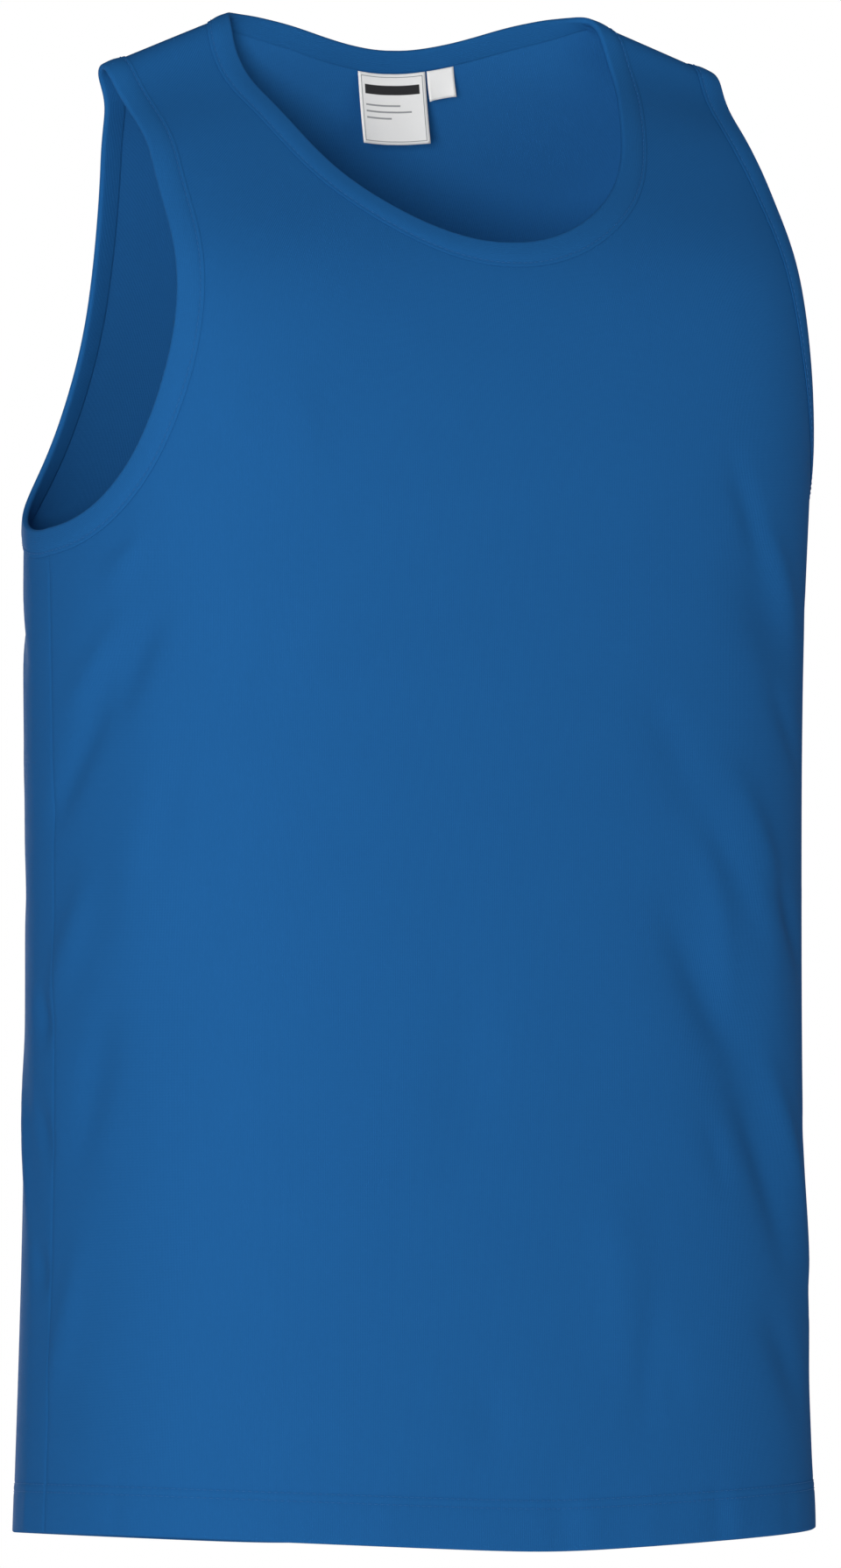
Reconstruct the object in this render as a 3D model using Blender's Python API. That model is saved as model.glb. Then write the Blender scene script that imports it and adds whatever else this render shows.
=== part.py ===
"""Sleeveless t-shirt of cotton jersey, held in its worn shape by nothing but its own cut.

Metres, +Z up. The front faces -Y and the wearer's right is at -X. The origin lies midway between
the two straps, at the height of the wearer's shoulders under the middle of each strap.

The garment is one tube that closes to a line over the shoulders. A point on it has a turn, its
angle to the side as seen from the middle of the front or of the back, and a place on the path
that runs up the front and down the back: -1 at the front hem, 0 on the shoulders, 1 at the back hem.
"""

import math

import bpy
import numpy as np

# Cloth, seams and trims
JERSEY = 0.0012  # wall of one layer of cloth
HEM_WALL = 0.0022  # wall where the hem is turned up
HEM_FOLD = 0.025  # height of the turned hem
HEM_STEP = 0.002  # height over which the wall thins above the hem
SEAM_GAP = 0.0003  # space between two pieces that are sewn together
BINDING_WALL = 0.0010
BINDING_OUTSIDE = 0.0120  # width of a binding on the outer face
BINDING_INSIDE = 0.0095  # width of a binding on the inner face
LABEL_WALL = 0.0010
LABEL_CLEARANCE = 0.0006  # between the top of a label and the cloth behind it
LABEL_LEAN = 0.07  # how far a label's lower end swings to the wearer's left, for each metre down
LABEL_WIDTH = 0.0380
LABEL_HEIGHT = 0.0340
TAB_WIDTH = 0.0140
TAB_HEIGHT = 0.0140
TAB_SPACE = 0.0010  # between the label and the size tab

# Form of the tube
TOP_LEVEL = 0.0446  # the shoulder line carried on to the middle of the neck
HEM_LEVEL = -0.7235
NECK_SOFTNESS = 0.030  # how softly the two shoulder slopes meet at the middle
BOXINESS = 0.035  # how far a ring is from an ellipse towards a box
SIDE = math.pi / 2  # the turn of a side seam
BODY_RADIUS = 0.172  # a turn of one radian is about this far round the body

# A row for each ring, from the shoulder line to the hem. The level is the height of its middle,
# the slope is how it falls towards the sides, and the flatness carries the depth of the middle
# out to the straps.
SECTION_COLUMNS = (
    "level", "half_width", "front", "back", "slope", "front_flatness", "back_flatness",
)
SECTIONS = (
    (0.0446, 0.1980, 0.0000, 0.0000, 0.37, 2.60, 3.00),
    (0.0392, 0.1980, 0.0062, 0.0058, 0.36, 2.60, 3.00),
    (0.0262, 0.1980, 0.0108, 0.0085, 0.32, 2.40, 2.80),
    (0.0040, 0.1980, 0.0225, 0.0125, 0.25, 1.90, 2.40),
    (-0.0210, 0.1980, 0.0415, 0.0230, 0.18, 1.40, 1.80),
    (-0.0560, 0.1985, 0.0680, 0.0390, 0.12, 1.00, 1.10),
    (-0.0960, 0.2000, 0.0950, 0.0550, 0.06, 0.75, 0.60),
    (-0.1460, 0.2020, 0.1110, 0.0720, 0.02, 0.55, 0.30),
    (-0.1960, 0.2035, 0.1180, 0.0850, 0.00, 0.35, 0.15),
    (-0.2560, 0.2030, 0.1200, 0.0950, 0.00, 0.18, 0.10),
    (-0.4160, 0.2005, 0.1240, 0.1000, 0.00, 0.10, 0.10),
    (-0.5960, 0.2020, 0.1270, 0.1030, -0.02, 0.10, 0.10),
    (-0.7235, 0.2060, 0.1310, 0.1060, -0.05, 0.10, 0.10),
)

# The neck's outline, seen from the front
NECK_HALF_WIDTH = 0.1065
NECK_WIDEST_HEIGHT = 0.0070  # where the front neckline is at its widest
FRONT_NECK_HEIGHT = -0.0950
BACK_NECK_HEIGHT = -0.0010
NECK_POINT = 0.1025  # half the neck's width on the shoulder line

# The armhole's outline, seen from the front, a row for each height between strap and underarm
SHOULDER_POINT = 0.1720  # half the width over both straps, on the shoulder line
UNDERARM_HEIGHT = -0.2330
# Columns: height, half width at the front, half width at the back
ARMHOLES = (
    (-0.0280, 0.1705, 0.1620),
    (-0.0600, 0.1720, 0.1530),
    (-0.1110, 0.1760, 0.1470),
    (-0.1620, 0.1840, 0.1520),
    (-0.2000, 0.1930, 0.1680),
    (-0.2220, 0.2000, 0.1870),
)

# The largest folds: soft ridges, or troughs where the rise is below 0, from one place to another.
# A turn here goes all round, in degrees, 0 at the middle of the front and 180 of the back.
# Columns: turn and height of one end, turn and height of the other end, width, rise
FOLDS = (
    (24, -0.341, 50, -0.476, 0.020, 0.0030),
    (18, -0.391, 52, -0.586, 0.024, -0.0040),
    (31, -0.231, 52, -0.316, 0.018, -0.0030),
    (46, -0.496, 66, -0.646, 0.022, 0.0025),
    (-60, -0.246, -84, -0.346, 0.020, -0.0030),
    (-52, -0.286, -78, -0.496, 0.026, 0.0030),
    (-150, -0.236, -118, -0.396, 0.024, -0.0035),
    (148, -0.226, 112, -0.376, 0.022, -0.0035),
    (170, -0.416, 124, -0.616, 0.028, 0.0030),
    (-168, -0.476, -122, -0.656, 0.026, 0.0030),
)

# How finely the pieces are divided
HALF_COLUMNS = 12
BODY_ROWS = 18
FRONT = {"side": -1, "chest_rows": 11, "strap_rows": 11, "strap_height": -0.108}
BACK = {"side": 1, "chest_rows": 12, "strap_rows": 10, "strap_height": -0.062}
CREST_CROWDING = 1.5  # above 1, the rows of a strap lie closer together at the shoulder
UNDERARM_CROWDING = 1.35  # the same for the rows of the chest at the underarm
STRIP_MARGIN = 0.0015  # how far a panel's fine strip goes on past the binding
STRIP = (BINDING_OUTSIDE + STRIP_MARGIN, BINDING_OUTSIDE, BINDING_INSIDE, 0)  # its lines at an edge
SEAM_REACH = 0.12  # places within which the lines across a strap lie along its shoulder seam
TRACE_STEPS = 1500
FRONT_NECK_ANGLES = (90, 72, 54, 36, 18, 0)  # knots of the front neckline, in degrees
BACK_NECK_SHARES = (0.84, 0.63, 0.42, 0.21, 0.0)  # knots of the back neckline, as shares of NECK_POINT
WALK_STEPS = 4
SMALL = 0.0001  # the step of turn or place that gives the surface's slopes
LEVEL_ROUNDS = 40  # rounds that settle the level of a point at a height
RING_STEPS = 900  # steps of the table that gives the turn of an x
WELD_DIGITS = 6  # points that agree to a micrometre are one
FOLD_TAPER = 1.5  # how sharply a fold dies out at its ends
BINDING_ROUND = (90, 45, 0, -45, -90)  # turns of a binding round the cloth's edge, in degrees
LABEL_GRID = (5, 5)  # columns and rows of points
TAB_GRID = (3, 3)
SMOOTH_ANGLE = 50  # faces that meet at fewer degrees than this are shaded as one

BLUE = (0.012, 0.107, 0.310)
BINDING_BLUE = (0.014, 0.116, 0.330)
WHITE = (0.80, 0.81, 0.82)
JERSEY_ROUGHNESS = 0.85
SATIN_ROUGHNESS = 0.50


# ---- the garment's surface


def spline(knots, values, at):
    """Value at each place of a natural cubic curve through the values at the knots."""
    knots, values, at = (np.asarray(item, float) for item in (knots, values, at))
    step = np.diff(knots)
    rate = np.diff(values) / step
    count = len(knots)
    system = np.eye(count)
    right = np.zeros(count)
    for k in range(1, count - 1):
        system[k, k - 1 : k + 2] = step[k - 1], 2 * (step[k - 1] + step[k]), step[k]
        right[k] = 6 * (rate[k] - rate[k - 1])
    bend = np.linalg.solve(system, right)
    k = np.clip(np.searchsorted(knots, at) - 1, 0, count - 2)
    before, after = at - knots[k], knots[k + 1] - at
    cubic = (bend[k] * after**3 + bend[k + 1] * before**3) / (6 * step[k])
    start = (values[k] / step[k] - bend[k] * step[k] / 6) * after
    end = (values[k + 1] / step[k] - bend[k + 1] * step[k] / 6) * before
    return cubic + start + end


def section_column(name):
    """One named column of the table of rings."""
    return np.array([row[SECTION_COLUMNS.index(name)] for row in SECTIONS])


def path_place(level):
    """Distance from the shoulder line, 0 there and 1 at the hem, stretched near the shoulders."""
    return np.sqrt(np.clip((TOP_LEVEL - level) / (TOP_LEVEL - HEM_LEVEL), 0, None))


def path_level(place):
    """The level at a place, the same on the front and on the back."""
    return TOP_LEVEL - (TOP_LEVEL - HEM_LEVEL) * place**2


def section(name, place):
    """A size that the rings have alike at the front and at the back."""
    down = path_place(section_column("level"))
    sizes = section_column(name)
    knots = np.concatenate((-down[:0:-1], down))
    return spline(knots, np.concatenate((sizes[:0:-1], sizes)), place)


def section_depth(place):
    """How far the middle of a ring is behind the shoulder line, below 0 at the front."""
    down = path_place(section_column("level"))
    knots = np.concatenate((-down[:0:-1], down))
    depths = np.concatenate((-section_column("front")[:0:-1], section_column("back")))
    return spline(knots, depths, place)


def section_flatness(place):
    """How far a ring carries the depth of its middle out to the sides."""
    down = path_place(section_column("level"))
    front = spline(down, section_column("front_flatness"), np.abs(place))
    back = spline(down, section_column("back_flatness"), np.abs(place))
    return np.where(np.asarray(place) < 0, front, back)


def ring_x(turn):
    """How far to the side a ring reaches at a turn, as a share of its half width."""
    return (np.sin(turn) + BOXINESS * np.sin(3 * turn)) / (1 - BOXINESS)


def ring_y(turn):
    """How deep a ring is at a turn, as a share of its depth."""
    return (np.cos(turn) - BOXINESS * np.cos(3 * turn)) / (1 - BOXINESS)


def side_drop(x):
    """How far out a point is for the shoulders' slope, rounded off at the middle."""
    return np.sqrt(x**2 + NECK_SOFTNESS**2) - NECK_SOFTNESS


def fold_rise(turn, place, height):
    """How far the folds move the cloth out."""
    body_turn = np.where(place < 0, turn, np.sign(turn) * math.pi - turn)
    rise = np.zeros_like(height)
    for turn_a, height_a, turn_b, height_b, width, most in FOLDS:
        start = np.array((math.radians(turn_a) * BODY_RADIUS, height_a))
        along = np.array((math.radians(turn_b) * BODY_RADIUS, height_b)) - start
        length = np.hypot(*along)
        along /= length
        east = body_turn * BODY_RADIUS - start[0]
        up = height - start[1]
        share = (east * along[0] + up * along[1]) / length
        across = up * along[0] - east * along[1]
        taper = np.sin(math.pi * np.clip(share, 0, 1)) ** FOLD_TAPER
        rise += most * taper * np.exp(-((across / width) ** 2))
    return rise


def surface(turn, place):
    """Points of the garment's outer face, as arrays of x, y and z."""
    turn, place = np.broadcast_arrays(np.asarray(turn, float), np.asarray(place, float))
    share = ring_y(turn)
    share = share + share * (1 - share) * section_flatness(place)
    x = section("half_width", place) * ring_x(turn)
    y = section_depth(place) * share
    z = path_level(place) - section("slope", place) * side_drop(x)
    rise = fold_rise(turn, place, z)
    return np.stack((x + rise * np.sin(turn), y + np.sign(place) * rise * np.cos(turn), z), -1)


def frame_at(turn, place):
    """How the surface runs with the turn and with the place, and its outward unit normal."""
    by_turn = (surface(turn + SMALL, place) - surface(turn - SMALL, place)) / (2 * SMALL)
    by_place = (surface(turn, place + SMALL) - surface(turn, place - SMALL)) / (2 * SMALL)
    normal = np.cross(by_turn, by_place)
    return by_turn, by_place, normal / np.linalg.norm(normal, axis=-1, keepdims=True)


def walk(turn, place, heading, distance):
    """Turns and places reached by going over the surface from some points, each in its heading."""
    step = distance / WALK_STEPS
    for _ in range(WALK_STEPS):
        by_turn, by_place, normal = frame_at(turn, place)
        heading = heading - (heading * normal).sum(-1, keepdims=True) * normal
        heading = heading / np.linalg.norm(heading, axis=-1, keepdims=True)
        turn_size = (by_turn**2).sum(-1)
        place_size = (by_place**2).sum(-1)
        shared = (by_turn * by_place).sum(-1)
        turn_goal = (by_turn * heading).sum(-1) * step
        place_goal = (by_place * heading).sum(-1) * step
        spread = turn_size * place_size - shared**2
        turn = turn + (place_size * turn_goal - shared * place_goal) / spread
        place = place + (turn_size * place_goal - shared * turn_goal) / spread
    return turn, place


# ---- the outlines of neck and armholes


def place_at(x, height, side):
    """The place of a point seen from the front at x and a height; side is -1 front, 1 back."""
    level = height
    for _ in range(LEVEL_ROUNDS):
        level = height + section("slope", side * path_place(level)) * side_drop(x)
    return side * path_place(level)


def turn_at(x, place):
    """The turn of a point at x on the ring at a place."""
    turns = np.linspace(0, SIDE, RING_STEPS)
    return np.interp(x / section("half_width", place), ring_x(turns), turns)


def trace(knots):
    """A smooth line over the surface through knots of turn and place.

    The first and last knots only give the line its direction at its ends. Returns the lengths,
    turns and places along it, and the length at which it crosses the shoulder line.
    """
    turns, places = np.array(knots).T
    points = surface(turns, places)
    chords = np.concatenate(((0,), np.cumsum(np.linalg.norm(np.diff(points, axis=0), axis=1))))
    at = np.linspace(chords[1], chords[-2], TRACE_STEPS)
    turns, places = spline(chords, turns, at), spline(chords, places, at)
    steps = np.linalg.norm(np.diff(surface(turns, places), axis=0), axis=1)
    lengths = np.concatenate(((0,), np.cumsum(steps)))
    return lengths, turns, places, np.interp(0, places, lengths)


def crest_height(x):
    """Height of the shoulder line at x."""
    return TOP_LEVEL - SECTIONS[0][SECTION_COLUMNS.index("slope")] * side_drop(x)


def neckline():
    """The neck's outline from the middle of the front over the left shoulder to the back."""
    drop = NECK_WIDEST_HEIGHT - FRONT_NECK_HEIGHT
    rise = crest_height(NECK_POINT) - BACK_NECK_HEIGHT
    knots = []
    for angle in np.radians(FRONT_NECK_ANGLES):
        x = NECK_HALF_WIDTH * math.cos(angle)
        place = place_at(x, NECK_WIDEST_HEIGHT - drop * math.sin(angle), -1)
        knots.append((turn_at(x, place), place))
    knots.append((turn_at(NECK_POINT, 0.0), 0.0))
    for share in BACK_NECK_SHARES:
        x = share * NECK_POINT
        place = place_at(x, BACK_NECK_HEIGHT + rise * (1 - math.cos(math.pi * share)) / 2, 1)
        knots.append((turn_at(x, place), place))
    before = (-knots[1][0], knots[1][1])
    after = (-knots[-2][0], knots[-2][1])
    return trace([before, *knots, after])


def armhole():
    """The left armhole's outline from the underarm up the front, over the strap and down the back."""
    underarm = path_place(UNDERARM_HEIGHT)
    front, back = [], []
    for height, front_x, back_x in ARMHOLES:
        for x, side, knots in ((front_x, -1, front), (back_x, 1, back)):
            place = place_at(x, height, side)
            knots.append((turn_at(x, place), place))
    top = (turn_at(SHOULDER_POINT, 0.0), 0.0)
    before = (math.pi - back[-1][0], -back[-1][1])
    after = (math.pi - front[-1][0], -front[-1][1])
    return trace([before, (SIDE, -underarm), *front[::-1], top, *back, (SIDE, underarm), after])


def crowded(length, rows):
    """Distances from the shoulder of rows that crowd together towards it, the last one 0."""
    return length * (1 - np.arange(rows + 1) / rows) ** CREST_CROWDING


def edge(line, front_left, back_left, cloth_side):
    """An outline's edge as stations, from distances to the shoulder along its front and its back.

    cloth_side is 1 where the cloth lies to the right of a walk along the line, seen from outside,
    and -1 to the left. Returns turns, places, headings into the cloth, and the shoulder's station.
    """
    lengths, turns, places, crest = line
    at = np.concatenate((crest - front_left, crest + back_left[-2::-1]))
    turn, place = np.interp(at, lengths, turns), np.interp(at, lengths, places)
    top = len(front_left) - 1
    place[top] = 0.0
    ahead = np.gradient(surface(turns, places), axis=0)
    ahead = np.stack([np.interp(at, lengths, part) for part in ahead.T], -1)
    by_turn, _, normal = frame_at(turn, place)
    ahead[top] = np.cross(normal[top], by_turn[top])
    for end in (0, -1):
        ahead[end] = by_turn[end] * np.sign(ahead[end].dot(by_turn[end]))
    heading = np.cross(ahead, normal)
    heading *= cloth_side / np.linalg.norm(heading, axis=-1, keepdims=True)
    along_seam = by_turn * cloth_side / np.linalg.norm(by_turn, axis=-1, keepdims=True)
    seam_share = np.exp(-((place / SEAM_REACH) ** 2))[:, None]
    heading = heading * (1 - seam_share) + along_seam * seam_share
    return turn, place, heading / np.linalg.norm(heading, axis=-1, keepdims=True), top


def neck_edge():
    """The left half of the neck's edge, from the middle of the front to the middle of the back."""
    line = neckline()
    lengths, crest = line[0], line[3]
    front = crowded(crest, FRONT["strap_rows"])
    back = crowded(lengths[-1] - crest, BACK["strap_rows"])
    return edge(line, front, back, 1)


def armhole_edge():
    """The left armhole's edge, from the underarm up the front, over the strap and down the back."""
    line = armhole()
    lengths, turns, places, crest = line
    heights = surface(turns, places)[:, 2]
    left = []
    for panel, whole in ((FRONT, crest), (BACK, lengths[-1] - crest)):
        part = np.sign(places) == panel["side"]
        order = np.argsort(heights[part])
        strap_end = np.interp(panel["strap_height"], heights[part][order], lengths[part][order])
        strap = abs(strap_end - crest)
        up = (np.arange(panel["chest_rows"]) / panel["chest_rows"]) ** UNDERARM_CROWDING
        chest = whole + (strap - whole) * up
        left.append(np.concatenate((chest, crowded(strap, panel["strap_rows"]))))
    return edge(line, *left, -1)


def inside_edge(stations, distance):
    """Turns and places at a distance from an edge, into the cloth."""
    turn, place, heading, top = stations
    if distance == 0:
        return turn, place
    far_turn, far_place = walk(turn, place, heading, distance)
    far_place[top] = 0.0
    ends = [0, -1]
    far_turn[ends] = turn[ends]
    return far_turn, far_place


# ---- walls and pieces


def panel_stations(panel, turn, place, top):
    """The stations of an edge on one panel, from its lower end to the shoulder seam."""
    part = slice(0, top + 1) if panel["side"] < 0 else slice(None, top - 1 if top else None, -1)
    turn, place = turn[part].copy(), place[part].copy()
    half_gap = SEAM_GAP / 2
    place[-1] = panel["side"] * half_gap / np.linalg.norm(frame_at(turn[-1:], place[-1:])[1])
    if math.isclose(turn[0], SIDE):
        turn[0] = SIDE - half_gap / np.linalg.norm(frame_at(turn[:1], place[:1])[0])
    return turn, place


def panel_blocks(panel, neck, arm):
    """Grids of turns and places that cover the left half of a panel, rows from the hem up."""
    side = panel["side"]
    strips = [
        [panel_stations(panel, *inside_edge(edges, distance), edges[3]) for distance in STRIP]
        for edges in (neck, arm)
    ]
    neck_in, arm_in = strips[0][0], strips[1][0]
    underarm, throat = path_level(arm_in[1][0]), path_level(neck_in[1][0])
    hem_levels = HEM_LEVEL + np.array((0, HEM_FOLD / 2, HEM_FOLD, HEM_FOLD + HEM_STEP))
    body_levels = np.linspace(hem_levels[-1], underarm, BODY_ROWS - len(hem_levels) + 2)[1:-1]
    body_place = side * path_place(np.concatenate((hem_levels, body_levels)))
    chest_place = side * path_place(np.linspace(underarm, throat, panel["chest_rows"] + 1)[:-1])
    middle = np.concatenate((body_place, chest_place))
    left_turn = np.concatenate((np.zeros_like(middle), neck_in[0]))
    left_place = np.concatenate((middle, neck_in[1]))
    right_turn = np.concatenate((np.full_like(body_place, arm_in[0][0]), arm_in[0]))
    right_place = np.concatenate((body_place, arm_in[1]))
    share = np.linspace(0, 1, HALF_COLUMNS + 1)
    cloth = [
        low[:, None] * (1 - share) + high[:, None] * share
        for low, high in ((left_turn, right_turn), (left_place, right_place))
    ]
    return [cloth] + [[np.stack(lines, 1) for lines in zip(*strip)] for strip in strips]


def panel_wall(turn, place):
    """The wall's thickness, more in the turned hem."""
    hem_share = np.clip((HEM_LEVEL + HEM_FOLD + HEM_STEP - path_level(place)) / HEM_STEP, 0, 1)
    return JERSEY + (HEM_WALL - JERSEY) * hem_share


def closed_wall(sheets, faces):
    """Vertices and faces of a wall between an outer and an inner sheet with the same faces."""
    count = len(sheets[0])
    edges = {(a, b) for face in faces for a, b in zip(face, face[1:] + face[:1])}
    rim = [(b, a, a + count, b + count) for a, b in sorted(edges) if (b, a) not in edges]
    inner = [tuple(k + count for k in reversed(face)) for face in faces]
    return np.concatenate(sheets), faces + inner + rim


def grid_faces(rows, columns):
    """Triangles of a grid whose vertices run row by row."""
    corners = (row * columns + column for row in range(rows - 1) for column in range(columns - 1))
    return [
        face
        for k in corners
        for face in ((k, k + 1, k + columns + 1), (k, k + columns + 1, k + columns))
    ]


def panel_mesh(panel, neck, arm):
    """A front or back: one cut of cloth with its hem, as a closed wall."""
    outer, inner, faces, welded = [], [], [], {}
    for turn, place in panel_blocks(panel, neck, arm):
        for mirrored in (1, -1):
            turns = turn * mirrored
            points, normals = surface(turns, place), frame_at(turns, place)[2]
            deep = points - normals * panel_wall(turns, place)[..., None]
            index = []
            for point, below in zip(points.reshape(-1, 3), deep.reshape(-1, 3)):
                key = tuple(np.round(point, WELD_DIGITS) + 0.0)
                if key not in welded:
                    welded[key] = len(outer)
                    outer.append(point)
                    inner.append(below)
                index.append(welded[key])
            row_way, column_way = points[1, 0] - points[0, 0], points[0, 1] - points[0, 0]
            forward = np.cross(column_way, row_way).dot(normals[0, 0]) > 0
            block = [tuple(index[k] for k in face) for face in grid_faces(*turn.shape)]
            faces += block if forward else [face[::-1] for face in block]
    return closed_wall((np.array(outer), np.array(inner)), faces)


def binding_section():
    """A binding's section round the cloth's edge, as distances into the cloth and out from it.

    Straight legs lie SEAM_GAP off both faces of the cloth, and half rounds join them past its edge.
    """
    middle = -JERSEY / 2
    near = JERSEY / 2 + SEAM_GAP
    far = near + BINDING_WALL
    angles = np.radians(BINDING_ROUND)
    outer = [(-far * math.cos(a), middle + far * math.sin(a)) for a in angles]
    inner = [(-near * math.cos(a), middle + near * math.sin(a)) for a in angles]
    outer = [(BINDING_OUTSIDE, middle + far), (BINDING_INSIDE, middle + far), *outer]
    inner = [(BINDING_OUTSIDE, middle + near), (BINDING_INSIDE, middle + near), *inner]
    return [*outer, (BINDING_INSIDE, middle - far), (BINDING_INSIDE, middle - near), *inner[::-1]]


def mirrored(stations):
    """The stations of the same edge on the other side of the body."""
    turn, place, heading, top = stations
    return -turn, place, heading * (-1, 1, 1), top


def binding_rings(stations):
    """The sections of a binding at an edge's stations, an array of stations, section points, xyz."""
    turn, place, heading, _ = stations
    columns = []
    for inward, out in binding_section():
        if inward > 0:
            base_turn, base_place = inside_edge(stations, inward)
            base = surface(base_turn, base_place)
            normal = frame_at(base_turn, base_place)[2]
        else:
            base = surface(turn, place) + heading * inward
            normal = frame_at(turn, place)[2]
        columns.append(base + normal * out)
    return np.stack(columns, 1)


def binding_mesh(rings, crest_distance):
    """A closed ring of sections.

    Each four-sided face is split as the cloth under it is: from its corner that is deepest in the
    cloth and furthest from the shoulder.
    """
    count, size = rings.shape[:2]
    inward = [point[0] for point in binding_section()]
    faces = []
    for i in range(count):
        for j in range(size):
            ahead, beside = (i + 1) % count, (j + 1) % size
            a, b = i * size + j, i * size + beside
            c, d = ahead * size + beside, ahead * size + j
            if (crest_distance[i] > crest_distance[ahead]) == (inward[j] > inward[beside]):
                faces += [(a, b, c), (a, c, d)]
            else:
                faces += [(b, c, d), (b, d, a)]
    return rings.reshape(-1, 3), faces


def neck_binding_mesh(neck):
    """The binding round the neck, its left half and its right half joined at front and back."""
    left, right = binding_rings(neck), binding_rings(mirrored(neck))
    crest_distance = np.abs(np.arange(len(left)) - neck[3])
    rings = np.concatenate((left, right[-2:0:-1]))
    return binding_mesh(rings, np.concatenate((crest_distance, crest_distance[-2:0:-1])))


def armhole_binding_mesh(arm):
    """The binding round one armhole."""
    return binding_mesh(binding_rings(arm)[:-1], np.abs(np.arange(len(arm[0]) - 1) - arm[3]))


def label_mesh(left, right, height, columns, rows):
    """A label that hangs straight down from the back neck binding, from x left to x right."""
    lengths, turns, places, crest = neckline()
    back = lengths > crest
    x = surface(turns[back], places[back])[:, 0]
    at = np.interp(np.abs(np.linspace(left, right, columns)), x[::-1], lengths[back][::-1])
    sign = np.sign(np.linspace(left, right, columns))
    turn, place = np.interp(at, lengths, turns) * sign, np.interp(at, lengths, places)
    down = np.tile((0.0, 0.0, -1.0), (columns, 1))
    turn, place = walk(turn, place, down, BINDING_INSIDE + SEAM_GAP)
    points, normal = surface(turn, place), frame_at(turn, place)[2]
    sheets = [], []
    for distance in np.linspace(0, height, rows):
        hanging = points + distance * np.array((LABEL_LEAN, 0.0, -1.0))
        sheets[0].append(hanging - normal * (JERSEY + LABEL_CLEARANCE))
        sheets[1].append(hanging - normal * (JERSEY + LABEL_CLEARANCE + LABEL_WALL))
    outer, inner = (np.concatenate(sheet) for sheet in sheets)
    return closed_wall((outer, inner), grid_faces(rows, columns))


# ---- the model in Blender


def cloth_material(name, colour, roughness):
    """A plain cloth colour."""
    material = bpy.data.materials.new(name)
    material.use_nodes = True
    shader = material.node_tree.nodes["Principled BSDF"]
    shader.inputs["Base Color"].default_value = (*colour, 1.0)
    shader.inputs["Roughness"].default_value = roughness
    shader.inputs["Metallic"].default_value = 0.0
    return material


def add_piece(collection, name, mesh_data, colour, roughness):
    """One piece as an object of its own, smooth shaded, its faces pointing out."""
    vertices, faces = mesh_data
    mesh = bpy.data.meshes.new(name)
    mesh.from_pydata([tuple(v) for v in vertices], [], faces)
    mesh.update()
    volume = sum(
        vertices[a].dot(np.cross(vertices[b], vertices[c]))
        for face in faces
        for a, b, c in zip(face[:1] * (len(face) - 2), face[1:-1], face[2:])
    )
    if volume < 0:
        mesh.flip_normals()
    mesh.shade_smooth()
    mesh.set_sharp_from_angle(angle=math.radians(SMOOTH_ANGLE))
    mesh.materials.append(cloth_material(name, colour, roughness))
    piece = bpy.data.objects.new(name, mesh)
    collection.objects.link(piece)
    return piece


def build():
    """Clear the scene and build the shirt."""
    for old in list(bpy.data.objects):
        bpy.data.objects.remove(old)
    shirt = bpy.data.collections.new("sleeveless_t_shirt")
    bpy.context.scene.collection.children.link(shirt)
    neck, arm = neck_edge(), armhole_edge()

    add_piece(shirt, "front_panel", panel_mesh(FRONT, neck, arm), BLUE, JERSEY_ROUGHNESS)
    add_piece(shirt, "back_panel", panel_mesh(BACK, neck, arm), BLUE, JERSEY_ROUGHNESS)
    add_piece(shirt, "neck_binding", neck_binding_mesh(neck), BINDING_BLUE, JERSEY_ROUGHNESS)
    left_arm = armhole_binding_mesh(arm)
    add_piece(shirt, "armhole_binding_left", left_arm, BINDING_BLUE, JERSEY_ROUGHNESS)
    right_arm = armhole_binding_mesh(mirrored(arm))
    add_piece(shirt, "armhole_binding_right", right_arm, BINDING_BLUE, JERSEY_ROUGHNESS)
    label_edge = LABEL_WIDTH / 2
    label = label_mesh(-label_edge, label_edge, LABEL_HEIGHT, *LABEL_GRID)
    add_piece(shirt, "neck_label", label, WHITE, SATIN_ROUGHNESS)
    tab_edge = label_edge + TAB_SPACE
    tab = label_mesh(tab_edge, tab_edge + TAB_WIDTH, TAB_HEIGHT, *TAB_GRID)
    add_piece(shirt, "size_tab", tab, WHITE, SATIN_ROUGHNESS)


build()
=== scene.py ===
# A sleeveless t-shirt of blue cotton jersey, in its worn shape with nobody in it.
# Lengths are in metres. The front faces -Y and the wearer's right is at -X.
import math

import bpy
import numpy as np
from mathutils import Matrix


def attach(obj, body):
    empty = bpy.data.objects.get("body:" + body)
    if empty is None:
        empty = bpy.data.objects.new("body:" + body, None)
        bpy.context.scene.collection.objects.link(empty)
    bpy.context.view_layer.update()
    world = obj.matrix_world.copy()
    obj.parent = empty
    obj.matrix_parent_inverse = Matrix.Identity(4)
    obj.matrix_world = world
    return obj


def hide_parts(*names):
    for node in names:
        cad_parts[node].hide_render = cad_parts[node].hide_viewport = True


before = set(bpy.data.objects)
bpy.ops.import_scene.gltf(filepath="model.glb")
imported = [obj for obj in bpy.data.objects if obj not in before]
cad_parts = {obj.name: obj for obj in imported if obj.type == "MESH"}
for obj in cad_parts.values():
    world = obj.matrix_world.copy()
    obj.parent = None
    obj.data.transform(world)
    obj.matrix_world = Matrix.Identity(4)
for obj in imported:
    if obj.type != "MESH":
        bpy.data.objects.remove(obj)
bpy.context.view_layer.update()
print("stage: frame loaded")

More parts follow.
